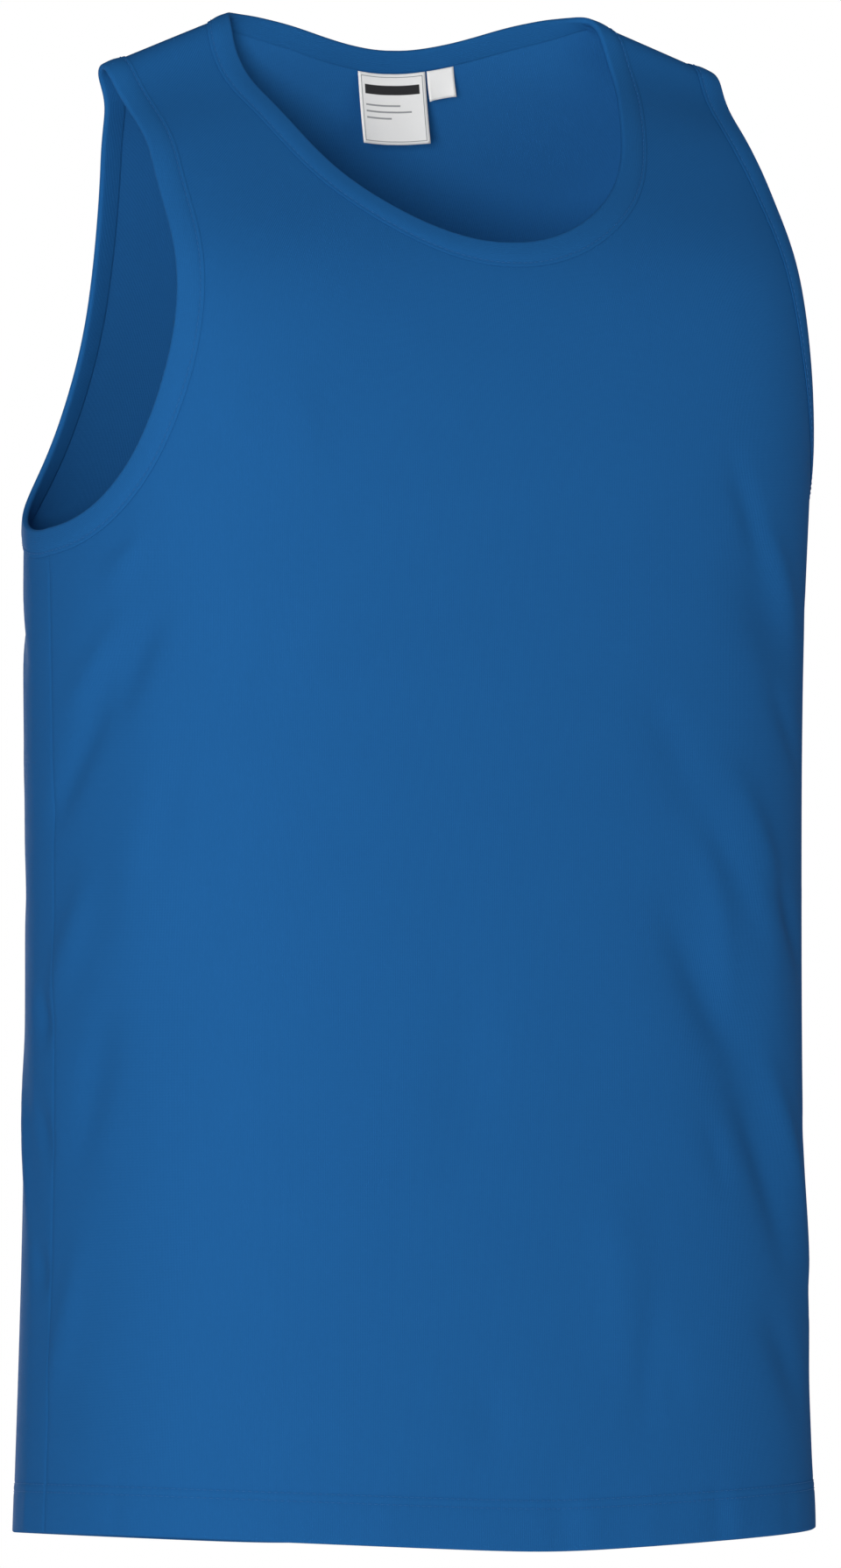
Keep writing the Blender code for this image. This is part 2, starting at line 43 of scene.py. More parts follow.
# The tube of cloth: a ring for each level, from the shoulder line down to the hem
shirtForm = {
    "topLevel": 0.0446,  # the shoulder line carried on to the middle of the neck
    "hemLevel": -0.7235,
    "neckSoftness": 0.03,  # how softly the two shoulder slopes meet
    "boxiness": 0.035,  # how far a ring is from an ellipse towards a box
    "turnRadius": 0.172,  # a turn of one radian is about this far round the body
    "slopeStep": 0.0001,  # for slopes by small differences
    "walkSteps": 4,
    # level, half width, front, back, slope, front flatness, back flatness
    "rings": np.array((
        (0.0446, 0.198, 0.0, 0.0, 0.37, 2.6, 3.0),
        (0.0392, 0.198, 0.0062, 0.0058, 0.36, 2.6, 3.0),
        (0.0262, 0.198, 0.0108, 0.0085, 0.32, 2.4, 2.8),
        (0.004, 0.198, 0.0225, 0.0125, 0.25, 1.9, 2.4),
        (-0.021, 0.198, 0.0415, 0.023, 0.18, 1.4, 1.8),
        (-0.056, 0.1985, 0.068, 0.039, 0.12, 1.0, 1.1),
        (-0.096, 0.2, 0.095, 0.055, 0.06, 0.75, 0.6),
        (-0.146, 0.202, 0.111, 0.072, 0.02, 0.55, 0.3),
        (-0.196, 0.2035, 0.118, 0.085, 0.0, 0.35, 0.15),
        (-0.256, 0.203, 0.12, 0.095, 0.0, 0.18, 0.1),
        (-0.416, 0.2005, 0.124, 0.1, 0.0, 0.1, 0.1),
        (-0.596, 0.202, 0.127, 0.103, -0.02, 0.1, 0.1),
        (-0.7235, 0.206, 0.131, 0.106, -0.05, 0.1, 0.1),
    )),
}

# Folds of the worn cloth, each from one end to the other; a rise below 0 is a trough.
# The turn is in degrees all round, 0 at the middle of the front and 180 of the back.
# turn, height, turn, height, bow, width, rise; the lengths in millimetres
creases = np.array((
    # the large folds
    (24, -341, 50, -476, 0, 20, 3),
    (18, -391, 52, -586, 0, 24, -4),
    (31, -231, 52, -316, 0, 18, -3),
    (46, -496, 66, -646, 0, 22, 2.5),
    (-60, -246, -84, -346, 0, 20, -3),
    (-52, -286, -78, -496, 0, 26, 3),
    (-150, -236, -118, -396, 0, 24, -3.5),
    (148, -226, 112, -376, 0, 22, -3.5),
    (170, -416, 124, -616, 0, 28, 3),
    (-168, -476, -122, -656, 0, 26, 3),
    # finer creases on the wearer's left of the front
    (20, -347, 42, -455, 4, 8, -2.1),
    (26, -335, 47, -430, 5, 9, 2.3),
    (17, -398, 36, -500, -4, 10, -2.7),
    (23, -372, 33, -470, 3, 6.5, 1.7),
    (29, -484, 47, -600, 6, 11, -2.9),
    (36, -470, 56, -570, 3, 9, 2.5),
    (30, -187, 43, -262, -3, 7.5, -1.9),
    (36, -222, 54, -290, 2, 8, 2.1),
    (40, -300, 58, -352, -2, 7, -1.7),
    (38, -392, 60, -455, 3, 8.5, -2.5),
    (15, -590, 13, -680, 3, 6, -1.5),
    (19, -615, 20, -662, -2, 5, -1.1),
    (8, -540, 11, -640, 5, 11, 1.9),
    (35, -600, 52, -665, 4, 12, -2.5),
    (24, -505, 30, -560, 2, 6, -1.3),
    (14, -300, 24, -372, 3, 10, -1.5),
    # on the wearer's right of the front
    (-64, -232, -76, -262, 2, 7, 2.1),
    (-58, -262, -73, -330, -3, 8.5, -2.3),
    (-66, -262, -88, -325, 2, 7.5, 2.5),
    (-72, -300, -94, -385, 3, 9, -2.7),
    (-56, -318, -66, -420, 4, 11, -2.3),
    (-76, -385, -94, -470, 2, 11, 2.7),
    (-70, -440, -84, -560, -4, 13, -2.5),
    (-48, -345, -52, -430, 3, 9, -1.3),
    (-33, -262, -44, -335, -3, 10, -1.3),
    (-12, -420, -14, -560, 6, 13, -1.3),
    (-80, -560, -92, -660, 3, 10, 1.9),
    (-10, -630, -8, -690, 3, 8, -1.3),
    (-53, -140, -49, -205, -4, 9, -1.5),
    (-37, -150, -33, -215, 3, 9, 1.1),
    # small waves down the sides
    (-98, -450, -92, -482, 0, 8, -2.3),
    (-100, -505, -90, -540, 2, 7, -1.9),
    (-99, -575, -91, -600, 0, 8, -2.1),
    (60, -515, 72, -548, 2, 8, -2.1),
    (58, -590, 74, -628, 0, 9, -2.3),
    (64, -400, 84, -440, 2, 9, 2.1),
    (62, -262, 82, -300, -2, 8, -2.5),
    (70, -320, 92, -372, 3, 9.5, 2.3),
    # on the back
    (-146, -262, -112, -360, 4, 8.5, 2.1),
    (-138, -300, -108, -425, -4, 10.5, -2.2),
    (-128, -252, -102, -305, 2, 8, -1.9),
    (-158, -400, -126, -520, 5, 12, -2.1),
    (-118, -470, -100, -585, 3, 10.5, 1.9),
    (-170, -560, -150, -660, 4, 12, 1.6),
    (-172, -180, -160, -262, 3, 11, -1.3),
    (150, -255, 116, -345, -3, 8, 1.9),
    (140, -290, 110, -420, 4, 10, -2.2),
    (126, -242, 104, -292, 2, 8, -1.8),
    (162, -395, 132, -500, 6, 11.5, -1.9),
    (154, -470, 118, -590, -3, 10, 1.9),
    (176, -300, 168, -390, 4, 12, -1.3),
    (134, -600, 112, -672, 3, 11, -1.9),
    (170, -160, 158, -230, 3, 11, 1.1),
    (-176, -640, -178, -700, 2, 8, -1.1),
)) / (1, 1000, 1, 1000, 1000, 1000, 1000)


# Natural cubic curve through the knots: value, slope and bend all run on from knot to knot
def smoothCurve(knots, values, at):
    step = np.diff(knots)
    rate = np.diff(values) / step
    count = len(knots)
    inner = np.arange(1, count - 1)
    system = np.eye(count)
    right = np.zeros(count)
    system[inner, inner - 1] = step[:-1]
    system[inner, inner] = 2 * (step[:-1] + step[1:])
    system[inner, inner + 1] = step[1:]
    right[inner] = 6 * np.diff(rate)
    bend = np.linalg.solve(system, right)
    k = np.clip(np.searchsorted(knots, at) - 1, 0, count - 2)
    before, after = at - knots[k], knots[k + 1] - at
    cubic = (bend[k] * after**3 + bend[k + 1] * before**3) / (6 * step[k])
    start = (values[k] / step[k] - bend[k] * step[k] / 6) * after
    end = (values[k + 1] / step[k] - bend[k + 1] * step[k] / 6) * before
    return cubic + start + end


# Place of a level: the root of its share of the way down, 0 at the shoulder and 1 at the hem
def placeAtLevel(level):
    height = shirtForm["topLevel"] - shirtForm["hemLevel"]
    return np.sqrt(np.clip((shirtForm["topLevel"] - level) / height, 0, None))


# Level of a place: the top less the place squared times the height
def levelAtPlace(place):
    return shirtForm["topLevel"] - (shirtForm["topLevel"] - shirtForm["hemLevel"]) * place**2


# A size of the rings at a place, below 0 on the front and above 0 on the back
def ringSize(frontColumn, backColumn, place, frontSign=1):
    down = placeAtLevel(shirtForm["rings"][:, 0])
    front, back = shirtForm["rings"][:, frontColumn] * frontSign, shirtForm["rings"][:, backColumn]
    if frontColumn == 5:  # the flatness of front and back differs even on the shoulder line
        onFront = smoothCurve(down, front, np.abs(place))
        return np.where(place < 0, onFront, smoothCurve(down, back, np.abs(place)))
    return smoothCurve(np.concatenate((-down[:0:-1], down)), np.concatenate((front[:0:-1], back)), place)


# Share of the half width at a turn: a sine with a little of its third overtone, boxier than an ellipse
def acrossShare(turn):
    boxiness = shirtForm["boxiness"]
    return (np.sin(turn) + boxiness * np.sin(3 * turn)) / (1 - boxiness)


# Share of the depth at a turn: a cosine less a little of its third overtone
def depthShare(turn):
    boxiness = shirtForm["boxiness"]
    return (np.cos(turn) - boxiness * np.cos(3 * turn)) / (1 - boxiness)


# How far out a point counts for the slope: the root of x squared plus softness squared, less softness
def sideDrop(x):
    softness = shirtForm["neckSoftness"]
    return np.sqrt(x**2 + softness**2) - softness


# A bell over a distance: 1 in the middle, and one part in e at its width
def bell(distance, width):
    return np.exp(-((distance / width) ** 2))


# Sum of the folds: each is a bell across its bowed line, times a sine that dies out at both ends
def creaseRise(turn, place, height):
    radius = shirtForm["turnRadius"]
    allRound = np.where(place < 0, turn, np.sign(turn) * math.pi - turn) * radius
    rise = np.zeros_like(height)
    for turnA, heightA, turnB, heightB, bow, width, most in creases:
        start = np.array((math.radians(turnA) * radius, heightA))
        along = np.array((math.radians(turnB) * radius, heightB)) - start
        length = np.hypot(*along)
        along /= length
        east, up = allRound - start[0], height - start[1]
        share = np.clip((east * along[0] + up * along[1]) / length, 0, 1)
        across = up * along[0] - east * along[1] - bow * 4 * share * (1 - share)
        rise += most * np.sin(math.pi * share) ** 1.5 * bell(across, width)
    return rise


# The shirt's outer face: a ring at each place, sloped down to the sides, moved out by the folds
def shirtSurface(turn, place):
    turn, place = np.broadcast_arrays(np.asarray(turn, float), np.asarray(place, float))
    share = depthShare(turn)
    share = share + share * (1 - share) * ringSize(5, 6, place)
    x = ringSize(1, 1, place) * acrossShare(turn)
    y = ringSize(2, 3, place, -1) * share
    z = levelAtPlace(place) - ringSize(4, 4, place) * sideDrop(x)
    rise = creaseRise(turn, place, z)
    return np.stack((x + rise * np.sin(turn), y + np.sign(place) * rise * np.cos(turn), z), -1)


# Vectors divided by their own lengths
def unit(vectors):
    return vectors / np.linalg.norm(vectors, axis=-1, keepdims=True)


# Distances run along a line of points, 0 at the first
def runLength(points):
    return np.concatenate(((0,), np.cumsum(np.linalg.norm(np.diff(points, axis=0), axis=1))))


# Vectors at distances along a line, each in proportion between its two neighbours
def vectorsAt(at, lengths, vectors):
    return np.stack([np.interp(at, lengths, part) for part in vectors.T], -1)


# Slopes with the turn and with the place by small differences, and their cross product as the normal
def surfaceFrame(turn, place):
    small = shirtForm["slopeStep"]
    byTurn = (shirtSurface(turn + small, place) - shirtSurface(turn - small, place)) / (2 * small)
    byPlace = (shirtSurface(turn, place + small) - shirtSurface(turn, place - small)) / (2 * small)
    return byTurn, byPlace, unit(np.cross(byTurn, byPlace))


# Walk over the surface in a heading: short steps, each solved from the two slopes
def walkOver(turn, place, heading, distance):
    step = distance / shirtForm["walkSteps"]
    for _ in range(shirtForm["walkSteps"]):
        byTurn, byPlace, normal = surfaceFrame(turn, place)
        heading = unit(heading - (heading * normal).sum(-1, keepdims=True) * normal)
        turnSize, placeSize = (byTurn**2).sum(-1), (byPlace**2).sum(-1)
        shared = (byTurn * byPlace).sum(-1)
        turnGoal, placeGoal = (byTurn * heading).sum(-1) * step, (byPlace * heading).sum(-1) * step
        spread = turnSize * placeSize - shared**2
        turn = turn + (placeSize * turnGoal - shared * placeGoal) / spread
        place = place + (turnSize * placeGoal - shared * turnGoal) / spread
    return turn, place


# Neckline and armholes, drawn as seen from the front
edges = {
    "neckHalfWidth": 0.1065,
    "neckWidestHeight": 0.007,
    "frontNeckHeight": -0.095,
    "backNeckHeight": -0.001,
    "neckPoint": 0.1025,  # half the neck's width on the shoulder line
    "shoulderPoint": 0.172,  # half the width over both straps
    "underarmHeight": -0.233,
    "armholes": (  # height, half width at the front, half width at the back
        (-0.028, 0.1705, 0.162),
        (-0.06, 0.172, 0.153),
        (-0.111, 0.176, 0.147),
        (-0.162, 0.184, 0.152),
        (-0.2, 0.193, 0.168),
        (-0.222, 0.2, 0.187),
    ),
    "seamReach": 0.12,  # places within which lines across a strap follow its shoulder seam
    "endReach": 0.02,  # distance within which lines into the cloth turn straight down at an edge's ends
    "settleRounds": 40,
    "turnSteps": 900,
    "traceSteps": 2500,
    "shoulderCrowding": 1.5,  # powers that crowd the stations towards the shoulder and the underarm
    "underarmCrowding": 1.35,
    "frontChestRows": 44,
    "frontStrapRows": 44,
    "backChestRows": 48,
    "backStrapRows": 40,
    "frontStrapHeight": -0.12,
    "backStrapHeight": -0.062,
}


# Place of a point at x and a height: its level is the height plus the shoulder slope, settled in rounds
def placeAt(x, height, side):
    level = height
    for _ in range(edges["settleRounds"]):
        level = height + ringSize(4, 4, side * placeAtLevel(level)) * sideDrop(x)
    return side * placeAtLevel(level)


# Turn of a point at x: the share of the half width read backwards
def turnAt(x, place):
    turns = np.linspace(0, math.pi / 2, edges["turnSteps"])
    return np.interp(x / ringSize(1, 1, place), acrossShare(turns), turns)


# Turn and place of a point at x and a height
def knotAt(x, height, side):
    place = placeAt(x, height, side)
    return turnAt(x, place), place


# A smooth line through knots of turn and place, whose first and last knot only give it direction
def traceLine(knots):
    turns, places = np.array(knots, float).T
    chords = runLength(shirtSurface(turns, places))
    at = np.linspace(chords[1], chords[-2], edges["traceSteps"])
    turns, places = smoothCurve(chords, turns, at), smoothCurve(chords, places, at)
    lengths = runLength(shirtSurface(turns, places))
    return lengths, turns, places, np.interp(0, places, lengths)


# The neck: a quarter of an ellipse down the front, and a cosine dip across the back
def neckOutline():
    drop = edges["neckWidestHeight"] - edges["frontNeckHeight"]
    crest = shirtForm["topLevel"] - shirtForm["rings"][0, 4] * sideDrop(edges["neckPoint"])
    knots = []
    for angle in np.radians((90, 72, 54, 36, 18, 0)):
        height = edges["neckWidestHeight"] - drop * math.sin(angle)
        knots.append(knotAt(edges["neckHalfWidth"] * math.cos(angle), height, -1))
    knots.append((turnAt(edges["neckPoint"], np.float64(0)), 0.0))
    for share in (0.84, 0.63, 0.42, 0.21, 0.0):
        dip = (1 - math.cos(math.pi * share)) / 2
        height = edges["backNeckHeight"] + (crest - edges["backNeckHeight"]) * dip
        knots.append(knotAt(share * edges["neckPoint"], height, 1))
    return traceLine([(-knots[1][0], knots[1][1]), *knots, (-knots[-2][0], knots[-2][1])])


# The left armhole: up the front through the table, over the strap, down the back to the underarm
def armholeOutline():
    underarm = placeAtLevel(edges["underarmHeight"])
    front = [knotAt(x, height, -1) for height, x, _ in edges["armholes"]]
    back = [knotAt(x, height, 1) for height, _, x in edges["armholes"]]
    top = (turnAt(edges["shoulderPoint"], np.float64(0)), 0.0)
    before = (math.pi - back[-1][0], -back[-1][1])
    after = (math.pi - front[-1][0], -front[-1][1])
    side = math.pi / 2
    return traceLine([before, (side, -underarm), *front[::-1], top, *back, (side, underarm), after])


# Distances from the shoulder that crowd towards it: the length times a power of one less the share
def crowdedRows(length, rows):
    return length * (1 - np.arange(rows + 1) / rows) ** edges["shoulderCrowding"]


# Stations of an edge: turns and places on its line, and headings into the cloth square to the line
def edgeStations(line, frontLeft, backLeft, clothSide):
    lengths, turns, places, crest = line
    at = np.concatenate((crest - frontLeft, crest + backLeft[-2::-1]))
    turn, place = np.interp(at, lengths, turns), np.interp(at, lengths, places)
    top = len(frontLeft) - 1
    place[top] = 0.0
    ahead = vectorsAt(at, lengths, np.gradient(shirtSurface(turns, places), axis=0))
    byTurn, _, normal = surfaceFrame(turn, place)
    ahead[top] = np.cross(normal[top], byTurn[top])
    ahead = unit(ahead)
    level = unit(byTurn * np.sign((ahead * byTurn).sum(-1, keepdims=True)))
    toEnd = np.minimum(at, lengths[-1] - at)[:, None]
    nearEnd = bell(toEnd, edges["endReach"])
    heading = unit(np.cross(ahead * (1 - nearEnd) + level * nearEnd, normal))
    seamShare = bell(place, edges["seamReach"])[:, None]
    heading = clothSide * unit(heading * (1 - seamShare) + unit(byTurn) * seamShare)
    return turn, place, heading, top


# The neck's left half, from the middle of the front to the middle of the back
def neckStations(line):
    lengths, _, _, crest = line
    front = crowdedRows(crest, edges["frontStrapRows"])
    return edgeStations(line, front, crowdedRows(lengths[-1] - crest, edges["backStrapRows"]), 1)


# The left armhole, its chest rows crowded towards the underarm by a power of their share
def armholeStations(line):
    lengths, turns, places, crest = line
    heights = shirtSurface(turns, places)[:, 2]
    left = []
    for name, side, whole in (("front", -1, crest), ("back", 1, lengths[-1] - crest)):
        part = np.sign(places) == side
        order = np.argsort(heights[part])
        strapEnd = np.interp(edges[name + "StrapHeight"], heights[part][order], lengths[part][order])
        strap = abs(strapEnd - crest)
        rows = edges[name + "ChestRows"]
        chest = whole + (strap - whole) * (np.arange(rows) / rows) ** edges["underarmCrowding"]
        left.append(np.concatenate((chest, crowdedRows(strap, edges[name + "StrapRows"]))))
    return edgeStations(line, *left, -1)


# Turns and places at a distance into the cloth from an edge, straight in at its two ends
def insideEdge(stations, distance):
    turn, place, heading, top = stations
    if distance == 0:
        return turn, place
    farTurn, farPlace = walkOver(turn, place, heading, distance)
    farPlace[top] = 0.0
    farTurn[[0, -1]] = turn[[0, -1]]
    return farTurn, farPlace


# The same stations on the wearer's right
def mirroredStations(stations):
    turn, place, heading, top = stations
    return -turn, place, heading * (-1, 1, 1), top


neckLine, armholeLine = neckOutline(), armholeOutline()
neckEdge, armholeEdge = neckStations(neckLine), armholeStations(armholeLine)
clothTurn, clothSteps = 0.65, 400  # the line down the cloth along which its length is measured
clothPlaces = np.linspace(0, 1, clothSteps)
clothLengths = runLength(shirtSurface(clothTurn, -clothPlaces))
print("stage: edges traced, neck %.3f m, armhole %.3f m" % (2 * neckLine[0][-1], armholeLine[0][-1]))


# Materials


# Links or sets the sockets of a node, and gives its outputs
def fillSockets(tree, node, sockets):
    for socket, value in sockets.items():
        if isinstance(value, bpy.types.NodeSocket):
            tree.links.new(value, node.inputs[socket])
        else:
            node.inputs[socket].default_value = value
    return node.outputs


# Arithmetic on sockets or numbers
def mathNode(tree, operation, *values, clamp=False):
    node = tree.nodes.new("ShaderNodeMath")
    node.operation = operation
    node.use_clamp = clamp
    return fillSockets(tree, node, dict(enumerate(values)))[0]


# A noise over a vector, scaled in cycles a metre
def noiseNode(tree, vector, scale, detail):
    node = tree.nodes.new("ShaderNodeTexNoise")
    return fillSockets(tree, node, {"Vector": vector, "Scale": scale, "Detail": detail})["Fac"]


# A new material with its node tree and shader
def newMaterial(name):
    material = bpy.data.materials.new(name)
    material.use_nodes = True
    return material, material.node_tree, material.node_tree.nodes["Principled BSDF"]


# Object coordinates, and the parts of a vector
def objectPlace(tree):
    return tree.nodes.new("ShaderNodeTexCoord").outputs["Object"]


def vectorParts(tree, vector):
    return fillSockets(tree, tree.nodes.new("ShaderNodeSeparateXYZ"), {0: vector})


# The piece's own map, and its parts across and along
def clothMap(tree):
    node = tree.nodes.new("ShaderNodeUVMap")
    node.uv_map = "cloth"
    across, along, _ = vectorParts(tree, node.outputs["UV"])
    return node.outputs["UV"], across, along


# A colour times a number
def shadedColour(tree, colour, shade):
    node = tree.nodes.new("ShaderNodeVectorMath")
    node.operation = "SCALE"
    return fillSockets(tree, node, {0: colour, "Scale": shade})[0]


# Normal of a face with relief: a height, where 1 stands for the distance
def reliefNormal(tree, height, strength, distance):
    node = tree.nodes.new("ShaderNodeBump")
    return fillSockets(tree, node, {"Strength": strength, "Distance": distance, "Height": height})[0]


jersey = {
    "face": (0.012, 0.105, 0.308),
    "reverse": (0.015, 0.12, 0.345),  # the purl side is a little lighter
    "binding": (0.0124, 0.1075, 0.313),
    "wale": 0.0008,  # width of one column of stitches
    "course": 0.00062,  # height of one row of stitches
    "vee": 1.1,  # how steeply the legs of a stitch lean
    "rowShare": 0.35,
    "ribShare": 0.65,
    "fibreShare": 0.9,
    "fibreScale": 2600,
    "bump": 0.0001,
    "bumpStrength": 0.55,
    "paintedGrooveShade": 0.1,  # painted shade: how much darker the colour is made in the grooves between the stitches
    "paintedGrooveBase": 0.96,
    "mottle": 0.05,
    "mottleScale": 26,
    "slub": 0.06,
    "slubScale": 420,
    "roughness": 0.88,
    "specular": 0.06,
}


# Knitted cloth: wales run along V of the cloth's own map, and each stitch is a vee of two legs.
# Height: the cosine across the wale plus that of the course, shifted by the distance from the wale's middle.
def jerseyMaterial(name, colour):
    material, tree, shader = newMaterial(name)
    cloth, across, along = clothMap(tree)
    wale = mathNode(tree, "DIVIDE", across, jersey["wale"])
    column = mathNode(tree, "SUBTRACT", mathNode(tree, "FRACT", wale), 0.5)
    lean = mathNode(tree, "MULTIPLY", mathNode(tree, "ABSOLUTE", column), jersey["vee"])
    course = mathNode(tree, "ADD", mathNode(tree, "DIVIDE", along, jersey["course"]), lean)
    rows = mathNode(tree, "COSINE", mathNode(tree, "MULTIPLY", course, 2 * math.pi))
    ribs = mathNode(tree, "COSINE", mathNode(tree, "MULTIPLY", column, 2 * math.pi))
    fibre = noiseNode(tree, cloth, jersey["fibreScale"], 3)
    height = mathNode(tree, "MULTIPLY", rows, jersey["rowShare"])
    for part, share in ((ribs, jersey["ribShare"]), (fibre, jersey["fibreShare"])):
        height = mathNode(tree, "ADD", height, mathNode(tree, "MULTIPLY", part, share))
    mottle = noiseNode(tree, cloth, jersey["mottleScale"], 4)
    slub = noiseNode(tree, cloth, jersey["slubScale"], 3)
    slub = mathNode(tree, "MULTIPLY_ADD", slub, jersey["slub"], -jersey["slub"] / 2)
    shade = mathNode(tree, "MULTIPLY_ADD", mottle, jersey["mottle"], 1 - jersey["mottle"] / 2)
    shade = mathNode(tree, "ADD", shade, slub)
    # Painted shade: the colour is darkened in the grooves between the stitches, where the knit's relief is
    # low
    groove = mathNode(tree, "MULTIPLY_ADD", height, jersey["paintedGrooveShade"] / 2, jersey["paintedGrooveBase"])
    shade = mathNode(tree, "MULTIPLY", shade, groove)
    fillSockets(tree, shader, {
        "Base Color": shadedColour(tree, colour, shade),
        "Roughness": jersey["roughness"],
        "Specular IOR Level": jersey["specular"],
        "Normal": reliefNormal(tree, height, jersey["bumpStrength"], jersey["bump"]),
    })
    return material


thread = {
    "colour": (0.02, 0.125, 0.345),
    "twist": 0.0005,
    # painted light and shade of the twist's plies, as a share of the colour
    "paintedTwistShade": 0.06,
    "roughness": 0.6,
    "specular": 0.2,
}


# Sewing thread: painted light and shade of its twist, as bands that wind round it, from the sine of its place
# along the twist
def threadMaterial():
    material, tree, shader = newMaterial("threadBlue")
    x, y, z = vectorParts(tree, objectPlace(tree))
    total = mathNode(tree, "ADD", mathNode(tree, "ADD", x, y), z)
    paintedTwistShade = mathNode(tree, "SINE", mathNode(tree, "MULTIPLY", total, 2 * math.pi / thread["twist"]))
    shade = mathNode(tree, "MULTIPLY_ADD", paintedTwistShade, thread["paintedTwistShade"], 1.0)
    fillSockets(tree, shader, {
        "Base Color": shadedColour(tree, thread["colour"], shade),
        "Roughness": thread["roughness"],
        "Specular IOR Level": thread["specular"],
    })
    return material


satin = {
    "white": (0.93, 0.93, 0.92),
    "grey": (0.33, 0.34, 0.35),
    "black": (0.012, 0.012, 0.014),
    "weft": 0.00022,
    "mapHeight": 0.034,  # metres that the height of the map stands for
    # left, right, low, high as shares of the label, and which ink
    "bars": (
        (0.09, 0.91, 0.7, 0.84, "black"),
        (0.09, 0.62, 0.535, 0.565, "grey"),
        (0.09, 0.78, 0.445, 0.475, "grey"),
        (0.09, 0.48, 0.355, 0.385, "grey"),
    ),
    "softness": 0.006,  # width of the ramps at the sides of a mark
    "frame": (0.035, 0.012),  # inset and width of the thin grey line round the label
    "mottle": 0.05,
    "mottleBase": 0.96,
    "mottleScale": 60,
    "bump": 0.00004,
    "bumpStrength": 0.3,
    "roughness": 0.42,
    "anisotropy": 0.3,
    "sheen": 0.1,
}


# 1 inside a box of the label's map and 0 outside: the product of four clamped ramps
def boxMask(tree, across, up, left, right, low, high):
    ramps = [
        mathNode(tree, "DIVIDE", mathNode(tree, "SUBTRACT", far, near), satin["softness"], clamp=True)
        for far, near in ((across, left), (right, across), (up, low), (high, up))
    ]
    first = mathNode(tree, "MULTIPLY", ramps[0], ramps[1])
    return mathNode(tree, "MULTIPLY", first, mathNode(tree, "MULTIPLY", ramps[2], ramps[3]))


# Woven satin: fine weft lines as a cosine over the map's height, and plain printed bars by box masks
def satinMaterial(name, printed):
    material, tree, shader = newMaterial(name)
    cloth, across, up = clothMap(tree)
    mottle = noiseNode(tree, cloth, satin["mottleScale"], 3)
    shade = mathNode(tree, "MULTIPLY_ADD", mottle, satin["mottle"], satin["mottleBase"])
    colour = shadedColour(tree, satin["white"], shade)
    marks = []
    if printed:
        inset, width = satin["frame"]
        boxes = [boxMask(tree, across, up, side, 1 - side, side, 1 - side) for side in (inset, inset + width)]
        marks.append((mathNode(tree, "SUBTRACT", *boxes), "grey"))
        marks += [(boxMask(tree, across, up, *bar[:4]), bar[4]) for bar in satin["bars"]]
    for mask, ink in marks:
        mix = tree.nodes.new("ShaderNodeMix")
        mix.data_type = "RGBA"
        colour = fillSockets(tree, mix, {0: mask, 6: colour, 7: (*satin[ink], 1.0)})[2]
    turns = 2 * math.pi * satin["mapHeight"] / satin["weft"]
    weft = mathNode(tree, "COSINE", mathNode(tree, "MULTIPLY", up, turns))
    fillSockets(tree, shader, {
        "Base Color": colour,
        "Roughness": satin["roughness"],
        "Anisotropic": satin["anisotropy"],
        "Sheen Weight": satin["sheen"],
        "Normal": reliefNormal(tree, weft, satin["bumpStrength"], satin["bump"]),
    })
    return material


bodyJersey = jerseyMaterial("bodyJersey", jersey["face"])
reverseJersey = jerseyMaterial("reverseJersey", jersey["reverse"])
bindingJersey = jerseyMaterial("bindingJersey", jersey["binding"])
threadBlue = threadMaterial()
print("stage: materials made")


# Meshes


# An object from point and face arrays, smooth shaded, its map given for each point or each face corner
def meshObject(name, points, faces, uv, material):
    mesh = bpy.data.meshes.new(name)
    mesh.from_pydata(points.reshape(-1, 3).tolist(), [], [list(face) for face in faces])
    mesh.update()
    corners = np.empty(len(mesh.loops), dtype=np.int32)
    mesh.loops.foreach_get("vertex_index", corners)
    layer = mesh.uv_layers.new(name="cloth")
    uv = uv.reshape(-1, 2)
    uv = uv if len(uv) == len(corners) else uv[corners]
    layer.data.foreach_set("uv", uv.astype(np.float32).ravel())
    mesh.shade_smooth()
    mesh.materials.append(material)
    piece = bpy.data.objects.new(name, mesh)
    bpy.context.scene.collection.objects.link(piece)
    return piece


# Four-cornered faces of a grid whose points run row by row
def gridFaces(rows, columns):
    corner = (np.arange(rows - 1)[:, None] * columns + np.arange(columns - 1)).ravel()
    return np.stack((corner, corner + 1, corner + columns + 1, corner + columns), 1)


# A wall between an outer and an inner sheet, with a rim wherever an edge has a face on one side only
def closedWall(outer, inner, faces):
    count = len(outer)
    start, end = faces.ravel(), np.roll(faces, -1, axis=1).ravel()
    free = ~np.isin(start * count + end, end * count + start)
    rim = np.stack((end[free], start[free], start[free] + count, end[free] + count), 1)
    return np.concatenate((outer, inner)), np.concatenate((faces, faces[:, ::-1] + count, rim))


# Turns through the points of a closed mesh and flips its faces if it is inside out
def facingOut(points, faces):
    a, b, c = (points[faces[:, k]] for k in range(3))
    d = points[faces[:, 3]]
    volume = (a * np.cross(b, c)).sum() + (a * np.cross(c, d)).sum()
    return faces if volume > 0 else faces[:, ::-1]


